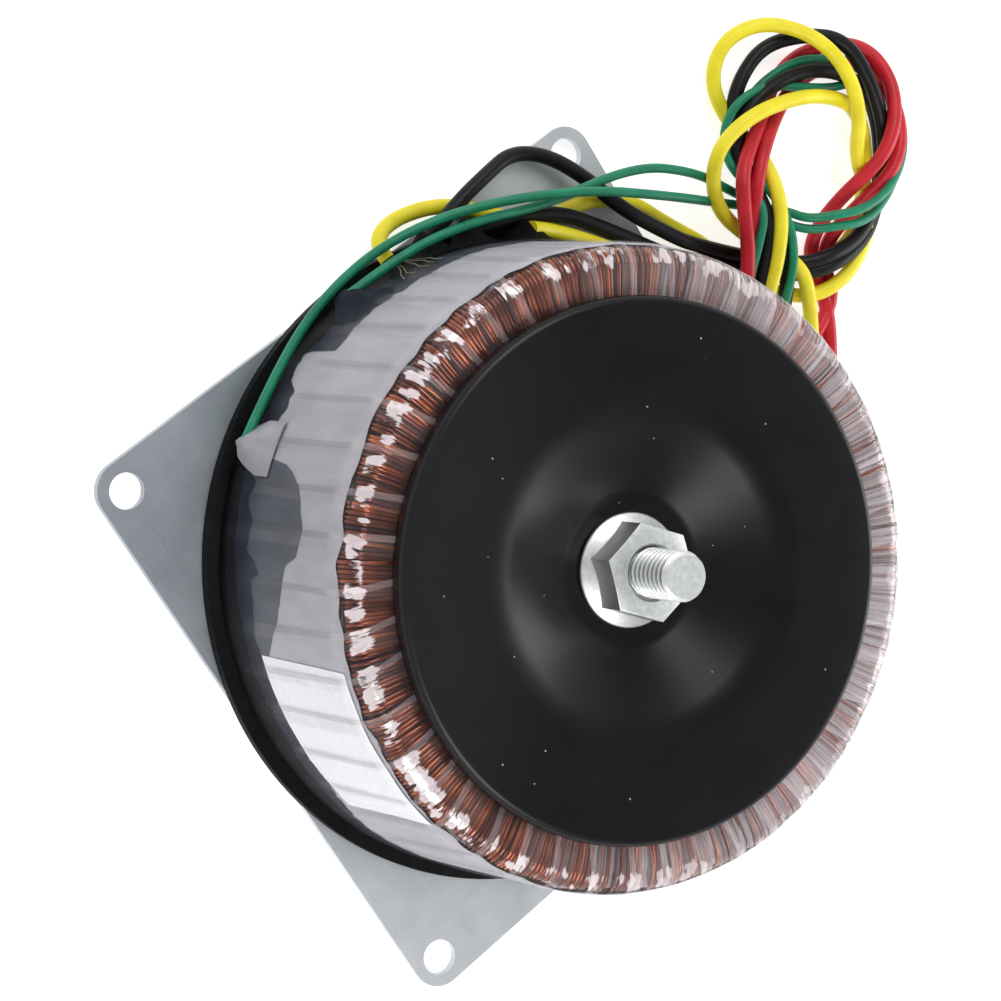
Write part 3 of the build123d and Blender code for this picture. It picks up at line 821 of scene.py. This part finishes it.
def cover_disc():
    """Pressed disc with smooth bends into the dish and a rounded lip."""
    slope = math.degrees(math.atan2(DISC_TOP - SEAT_TOP, DISH_RADIUS - SEAT_RADIUS))
    seat_end = SEAT_RADIUS - SEAT_BEND * math.tan(math.radians(slope / 2))
    dish_end = DISH_RADIUS + DISH_BEND * math.tan(math.radians(slope / 2))
    upper = [
        (BOLT_HOLE, SEAT_TOP), (8, SEAT_TOP),
        *arc((seat_end, SEAT_TOP + SEAT_BEND), SEAT_BEND, -90, -90 + slope, 10),
        *arc((dish_end, DISC_TOP - DISH_BEND), DISH_BEND, 90 + slope, 90, 16),
        (34, DISC_TOP), (38, DISC_TOP),
        *arc((DISC_RADIUS - RIM_BEND, DISC_TOP - RIM_BEND), RIM_BEND, 90, 0, 8),
        (DISC_RADIUS, DISC_TOP - DISC_LIP + 0.3), (DISC_RADIUS - 0.3, DISC_TOP - DISC_LIP),
    ]
    inner = DISC_RADIUS - DISC_SHEET
    under = DISC_TOP - DISC_SHEET
    lower = [
        (inner, DISC_TOP - DISC_LIP), (inner, under), (DISH_RADIUS, under),
        (SEAT_RADIUS, SEAT_TOP - DISC_SHEET), (BOLT_HOLE, SEAT_TOP - DISC_SHEET),
    ]
    piece = lathe("cover_disc_skin", (upper + lower)[::-1], DISC, 288)
    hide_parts("cover_disc")


HEX_TURN = 40.0
HEX_FLAT = 7.0
NUT_BORE = 4.05


def hex_reach(angle):
    """Distance from the axis to a hexagon's side in the direction of an angle."""
    within = (angle - HEX_TURN) % 60 - 30
    return HEX_FLAT / math.cos(math.radians(within))


def sharpen(piece, degrees):
    """Keep edges crisp where faces meet at more than an angle."""
    bpy.context.view_layer.objects.active = piece
    for other in bpy.context.selected_objects:
        other.select_set(False)
    piece.select_set(True)
    bpy.ops.object.shade_smooth_by_angle(angle=math.radians(degrees))
    piece.select_set(False)


def hexagon(name, low, high, chamfer, bottom_chamfer=False, bore=0.0):
    """Hexagon bar with its corners cut by a cone of the chamfer's angle."""
    steps, levels = 144, 10
    face_edge = HEX_FLAT - 0.25
    slope = math.tan(math.radians(chamfer))
    points = []
    for s in range(steps):
        angle = 360 * s / steps
        reach = hex_reach(angle)
        cut = (reach - face_edge) * slope
        if bottom_chamfer:
            column = [(bore, low), (face_edge, low), (reach, low + cut)]
        else:
            column = [(bore, low), (reach - 0.05, low), (reach, low + 0.05)]
        bottom, top = column[-1][1], high - cut
        column += [(reach, bottom + (top - bottom) * k / levels) for k in range(1, levels + 1)]
        column.append((face_edge, high))
        column += [(bore + 0.55, high), (bore, high - 0.55)] if bore else [(bore, high)]
        points += [ring_point(r, angle, z) for r, z in column]
    faces = grid_faces(steps, len(points) // steps, True, bore > 0)
    piece = add_mesh(name, points, faces, ZINC_BOLT)
    sharpen(piece, 28)
    return piece


def flange_nut():
    """Hexagon on a coned round flange."""
    nut = hexagon("nut_hexagon", SEAT_TOP + 1.2, NUT_TOP, 14, bore=NUT_BORE)
    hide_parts("flange_nut")
    rim, edge = 9.2, 0.45
    profile = [
        (NUT_BORE, SEAT_TOP), (rim - 0.35, SEAT_TOP),
        *arc((rim - edge, SEAT_TOP + 0.5), edge, -60, 75, 6),
        (7.4, SEAT_TOP + 1.9), (6.9, SEAT_TOP + 2.3), (6.4, SEAT_TOP + 3.0),
        (NUT_BORE, SEAT_TOP + 3.0),
    ]
    flange = lathe("nut_flange", profile, ZINC_BOLT, 160)


THREAD_PITCH = 1.25
THREAD_DEPTH = 0.62
THREAD_CREST = 4.0


def threaded_stud():
    """Shank with a real helical thread and a chamfered tip, and the bolt's head."""
    steps = 72
    foot, low = 9.0, NUT_TOP - 2.0
    rows = int((BOLT_TIP - low) / 0.078)
    points = []
    for s in range(steps):
        angle = 360 * s / steps
        column = [(0, foot), (3.6, foot), (3.6, low)]
        for i in range(rows + 1):
            z = low + (BOLT_TIP - low) * i / rows
            phase = (z / THREAD_PITCH - angle / 360) % 1
            flank = min(max(abs(phase - 0.5) * 2 * 1.3 - 0.12, 0), 1)
            r = THREAD_CREST - THREAD_DEPTH * (1 - flank)
            column.append((min(r, 3.35 + (BOLT_TIP - z) * 0.9), z))
        column += [(3.1, BOLT_TIP), (0, BOLT_TIP - 0.02)]
        points += [ring_point(r, angle, z) for r, z in column]
    piece = add_mesh("threaded_stud", points, grid_faces(steps, len(column), True), ZINC_BOLT)
    sharpen(piece, 35)
    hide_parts("centre_bolt")
    hexagon("bolt_head", 3.9, 9.2, 30, bottom_chamfer=True)


# Flying leads: control points of each route, which begins at the side wall with the
# points of the solid run in the part's source and ends where the covering ends

LEADS = {
    "green_lead_1": [
        (-45.5, -31, 9.5), (-52.5, -17, 7.5), (-57, -2.5, 7.5), (-57.5, 11.5, 9.2),
        (-53.5, 26.5, 10.6), (-44.5, 44.5, 10.8), (-34.5, 58, 8.8), (-25.5, 69.5, 5),
        (-22, 74, 4), (-17.5, 79.5, 4.6), (-14.5, 81, 7.6), (-12.5, 85, 8.8), (-10, 90.5, 9.6),
        (-9, 98.5, 7.8), (-11, 107, 4.2), (-16, 112.5, 1.6), (-22.5, 112.5, 0.9),
        (-27, 109, 1.6), (-29, 102, 3.6), (-33, 95.5, 4.9), (-38, 88.5, 5.6), (-39, 81.5, 5.4),
        (-36, 76.5, 4.4), (-31, 73.5, 5.6), (-25.5, 74, 8), (-21, 73, 9.6), (-17, 68.5, 9.6),
        (-13, 64, 8.8), (-8.5, 61, 7.6),
    ],
    "green_lead_2": [
        (-54.8, -2.5, 10.4), (-55.2, 9.5, 11.2), (-51.9, 23.7, 10.4), (-46.2, 37, 8.4),
        (-42, 56, 8.2), (-34, 66.5, 6.6), (-26.5, 72, 4.6), (-23.5, 74.5, 3.2), (-16, 78, 4.2),
        (-12.5, 80.5, 6.8), (-10.5, 84.5, 8.2), (-7.5, 90.5, 8), (-7, 97.5, 5.6),
        (-9.5, 106, 2.8), (-16.5, 111.5, 0.9), (-24.5, 113, 0.8), (-30, 110, 0.9),
        (-34, 104, 2.6), (-37.5, 98, 3.6), (-38.5, 91, 3.6), (-37.5, 85, 3), (-34, 80, 3),
        (-28.5, 76.5, 5.4), (-23, 77, 8.2), (-16.5, 76.5, 9.4), (-10.5, 73.5, 9.4),
        (-5.5, 69, 8), (-1.5, 65.5, 5.6),
    ],
    "yellow_lead_1": [
        (-54.6, 8.3, 6.6), (-57.9, 8.4, 5), (-58.9, 14.5, 3), (-55.6, 24.2, 3),
        (-47.5, 31.8, 3), (-42.4, 38.8, 3), (-40.9, 47.5, 3), (-36.2, 54.6, 3),
        (-28.5, 58.6, 2.6), (-20.5, 64, 1.6), (-10.5, 67, 1.4), (-3.5, 73, 2.6), (-0.5, 78, 4),
        (0, 86, 3.6), (-3.5, 94.5, 2), (-11.5, 97.5, 3.2), (-18, 97, 6.4), (-23.5, 100, 8.8),
        (-30.5, 102, 9.2), (-37.5, 101.5, 8.4), (-43.5, 98.5, 6.6), (-48, 93, 4.6),
        (-48.5, 86, 3), (-44, 81, 1.8), (-37, 80, 1.4), (-31, 80.5, 4), (-26, 79, 8),
        (-19.5, 76, 9.9), (-13.5, 71, 9.9), (-8.5, 65.5, 9), (-4, 61.5, 7.4),
    ],
    "yellow_lead_2": [
        (-44.4, 32.9, 8.4), (-41, 37.9, 5.4), (-31.5, 46, 5.2), (-21.5, 52.7, 4.7),
        (-10.5, 63, 2), (-7.5, 74.5, 1.6), (-6.5, 78.5, 3.6), (-4.5, 83.5, 4), (-5, 91.5, 2.2),
        (-10, 98, 1.4), (-17.5, 103, 2.2), (-25, 102.5, 5), (-30.5, 96.5, 7.6), (-34, 90, 9),
        (-36.5, 81, 9.6), (-36, 72.5, 9.4), (-32, 68, 8.2), (-25.5, 67, 6), (-18.5, 70, 4.6),
        (-13, 73, 5.8), (-8, 75.5, 7), (-2, 74, 6.6), (4.5, 71.5, 4.6),
    ],
    "black_lead_1": [
        (-52.8, 16, 5.6), (-55, 24, 6.3), (-55.8, 32, 5.6), (-56, 39, 4.4), (-51.5, 44.8, 4.2),
        (-44.5, 48.2, 5.6), (-36.5, 50.8, 6.2), (-26.5, 57.4, 5.2), (-23.5, 60, 4.2),
        (-17, 66.5, 3.2), (-12, 72, 2.8), (-8, 76.5, 4.6), (-6, 81.5, 6.2), (-4.5, 89.5, 4.8),
        (-6.5, 98, 2.2), (-11.5, 103.5, 2.8), (-19.5, 106, 5.6), (-28.5, 107, 6.8),
        (-36.5, 106.5, 6), (-41, 100.5, 4.2), (-43.5, 93, 3.2), (-41.5, 86, 3),
        (-37.5, 81, 2.8), (-31.5, 78, 3.6), (-25.5, 75, 7), (-20, 74, 8.4), (-15, 70.5, 8.6),
        (-10.5, 65.5, 8.4), (-7, 61, 7.2),
    ],
    "black_lead_2": [
        (-50, 23.6, 6.6), (-46.3, 37.5, 6.4), (-33.2, 48.4, 4.9), (-22.8, 56.2, 3.6),
        (-17.5, 63.5, 2.4), (-9, 71, 1.8), (-6, 76.5, 4), (-4, 81.5, 5.6), (-3, 89, 4),
        (-4, 96, 1.6), (-10, 102.5, 1.4), (-18, 107.5, 1.4), (-25.5, 107.5, 3.2),
        (-31.5, 103.5, 4.4), (-36, 96.5, 5), (-37.5, 88.5, 5.8), (-36.5, 82, 5.2),
        (-32, 76.5, 4.6), (-26.5, 74, 6.4), (-20.5, 75, 7), (-14, 75, 7.4), (-7.5, 72, 7),
        (-2, 67.5, 5.2),
    ],
    "red_lead_1": [
        (40.6, 38.2, 8.5), (34, 49, 6.5), (23.5, 61.5, 3.4), (12.5, 73.8, 1.6), (2, 80, 1.4),
        (-6, 80.5, 1.4), (-10.5, 84, 3), (-13, 91, 5.2), (-14.5, 100, 8), (-18, 106, 8.2),
        (-23.5, 111.5, 5.6), (-30.5, 112.5, 3), (-35.5, 107.5, 1.6), (-38, 99, 1.4),
        (-36.5, 91.5, 1.6), (-33.5, 86, 3.8), (-32, 79.5, 6.8), (-29.5, 73, 9.4),
        (-23, 69, 9.8), (-16, 65.5, 9.6), (-10.5, 61.5, 8.6),
    ],
    "red_lead_2": [
        (32.6, 45.4, 8.5), (24, 53.5, 5), (15.5, 61.5, 2), (7, 70, 1.5), (3, 81.5, 1.4),
        (-4.5, 83, 1.4), (-8, 86.5, 3), (-9.5, 94.5, 4.6), (-11, 103, 6.4), (-16, 109, 5.2),
        (-22.5, 112, 2.8), (-29, 110.5, 1.4), (-33, 104, 1.4), (-34, 97, 1.4), (-33, 90.5, 3),
        (-31, 83.5, 6), (-28, 77, 8.6), (-23, 72.5, 8.6), (-17.5, 68.5, 7.2),
        (-11.5, 64.5, 6.6),
    ],
}


def route_length(piece):
    """Length in metres of the route's spline."""
    depth = piece.data.bevel_depth
    piece.data.bevel_depth = 0
    mesh = bpy.data.meshes.new_from_object(piece)
    piece.data.bevel_depth = depth
    spots = [v.co.copy() for v in mesh.vertices]
    bpy.data.meshes.remove(mesh)
    return sum((b - a).length for a, b in zip(spots, spots[1:]))


def bared_strand(name, points, lead_diameter, diameter):
    """Tinned strand: thin wires twisted together past the covering's end."""
    end = Vector(points[-1])
    direction = (end - Vector(points[-2])).normalized()
    side = direction.orthogonal().normalized()
    other = direction.cross(side)
    covered = 0.6
    start = end - direction * covered
    length = 2 * lead_diameter + covered
    rings, around, wires, turns = 28, 36, 6, 1.2
    made = []
    for ring in range(rings + 1):
        t = ring / rings
        centre = start + direction * length * t
        for k in range(around):
            a = 2 * math.pi * k / around
            swirl = a + 2 * turns * math.pi * t
            r = diameter / 2 * (0.86 + 0.14 * abs(math.cos(wires / 2 * a))) * (1 - 0.06 * t)
            made.append(centre + (side * math.cos(swirl) + other * math.sin(swirl)) * r)
    faces = [face[::-1] for face in grid_faces(rings + 1, around, False, True)]
    faces.append(tuple(range(rings * around, (rings + 1) * around)))
    piece = add_mesh(name, made, faces, TINNED)
    return piece


def leads():
    """All eight leads with their bared ends."""
    for name, points in LEADS.items():
        colour = name.split("_")[0]
        thin = colour == "green"
        diameter = GREEN_LEAD if thin else THICK_LEAD
        piece = add_tubes(name, [points], diameter / 2, 10, 4, PVC[colour])
        wire = GREEN_STRAND if thin else THICK_STRAND
        strand = bared_strand(name + "_bare_end", points, diameter, wire)
        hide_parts(name + "_run", name + "_tail")
        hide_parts(name + "_strand")
        if name == "yellow_lead_1":
            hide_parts("lead_coil")
        route_length(piece)


# Materials for the solids that show as they are

def dress_nodes():
    """Procedural materials on every CAD node that stays."""
    kept = {
        "mounting_plate": ZINC_PLATE, "base_pad": RUBBER, "top_pad": RUBBER, "core": ZINC_PLATE,
        "core_insulation": UNDER, "primary_winding": COPPER, "winding_tape": UNDER,
    }
    for name, material in kept.items():
        mesh = nodes[name].data
        mesh.materials.clear()
        mesh.materials.append(material)


# Camera, light and floor

def camera():
    """The photograph's own viewpoint, from the fit of a pinhole camera."""
    data = bpy.data.cameras.new("camera")
    data.lens = 104.24
    data.sensor_width = 36
    data.clip_start = 0.01
    right = Vector((0.50215133, 0.72221514, 0.47565675))
    up = Vector((-0.80696864, 0.58906387, -0.0424896))
    back = -Vector((0.31087883, 0.36250387, -0.87860417))
    turn = Matrix((right, up, back)).transposed().to_4x4()
    eye = bpy.data.objects.new("camera", data)
    eye.matrix_world = Matrix.Translation(Vector((-0.16154, -0.17436, 0.43590))) @ turn
    bpy.context.scene.collection.objects.link(eye)
    bpy.context.scene.camera = eye


def softbox(name, direction, distance, width, height, power):
    """Area light that looks at the middle of the part."""
    data = bpy.data.lights.new(name, "AREA")
    data.shape = "RECTANGLE"
    data.size, data.size_y = width, height
    data.energy = power
    lamp = bpy.data.objects.new(name, data)
    away = Vector(direction).normalized()
    lamp.location = away * distance + Vector((0, 0, 0.03))
    lamp.rotation_euler = away.to_track_quat("Z", "Y").to_euler()
    bpy.context.scene.collection.objects.link(lamp)


def world():
    """Pale surroundings, brighter at the horizon than overhead."""
    sky = bpy.data.worlds.new("studio")
    sky.use_nodes = True
    bpy.context.scene.world = sky
    tree = sky.node_tree
    background = tree.nodes["Background"]
    spot = tree.nodes.new("ShaderNodeTexCoord")
    split = tree.nodes.new("ShaderNodeSeparateXYZ")
    ramp = tree.nodes.new("ShaderNodeValToRGB")
    ramp.color_ramp.elements[0].position = 0.25
    ramp.color_ramp.elements[0].color = (1.0, 1.0, 1.0, 1)
    ramp.color_ramp.elements[1].position = 0.7
    ramp.color_ramp.elements[1].color = (0.33, 0.335, 0.35, 1)
    tree.links.new(spot.outputs["Generated"], split.inputs[0])
    tree.links.new(split.outputs[2], ramp.inputs[0])
    tree.links.new(ramp.outputs["Color"], background.inputs["Color"])
    background.inputs["Strength"].default_value = 1.0


def floor():
    """Wide plain floor just under the plate, in metres."""
    side, gap = 6.0, 0.0003
    corners = [(-side, -side, 0), (side, -side, 0), (side, side, 0), (-side, side, 0)]
    mesh = bpy.data.meshes.new("floor")
    mesh.from_pydata(corners, [], [(0, 1, 2, 3)])
    mesh.materials.append(floor_material())
    piece = bpy.data.objects.new("floor", mesh)
    piece.location.z = -gap
    bpy.context.scene.collection.objects.link(piece)


# The scene, from the inside of the object to its surroundings. A flap is given by its
# first and last angle, its low and high edge, and how far it lifts.

copper_turns()
under_layer()
grey_band()
edged_shell("dark_tape", NAVY, NAVY_LIFT, TAPE_FOOT, DARK_EDGE, 0, 360, 1.0)
edged_shell("black_tape", BLACK_TAPE, BLACK_LIFT, TAPE_FOOT, BLACK_EDGE, 0, 360, 0.6)
lead_joints()
tape_flap("tape_flap_1", 209.0, 219.0, 8.4, 17.5, 2.5, LOOSE_TAPE)
tape_flap("tape_flap_2", 177.5, 188.0, 9.0, 17.5, 2.4, NAVY)
tape_flap("tape_flap_3", 137.5, 149.5, 4.6, 12.0, 4.0, BLACK_TAPE)
tape_flap("tape_flap_4", 150.0, 159.5, 4.6, 11.0, 3.9, BLACK_TAPE)
tape_flap("tape_flap_5", 158.5, 167.5, 4.6, 10.0, 3.8, BLACK_TAPE)
tape_flap("tape_flap_6", 38.5, 48.0, 4.6, 13.5, 4.4, BLACK_TAPE)
tape_flap("tape_flap_7", 49.5, 59.0, 4.6, 13.5, 4.5, BLACK_TAPE)
edged_shell("shade_patch", SHADE, SHADE_LIFT, 9.0, PATCH_EDGE, 214.5, 256, 0.5)
bare_label()
film_strips()
cover_disc()
flange_nut()
threaded_stud()
leads()
dress_nodes()
camera()
softbox("box_above", (-0.53, 0.40, 0.74), 0.9, 0.35, 0.5, 3.2)
softbox("box_below", (0.46, -0.47, 0.75), 0.9, 0.35, 0.5, 4.3)
softbox("box_side", (0.6, 0.77, 0.35), 1.1, 0.6, 0.6, 4.6)
world()
floor()
bpy.context.scene.view_settings.view_transform = "Standard"

bpy.context.view_layer.update()
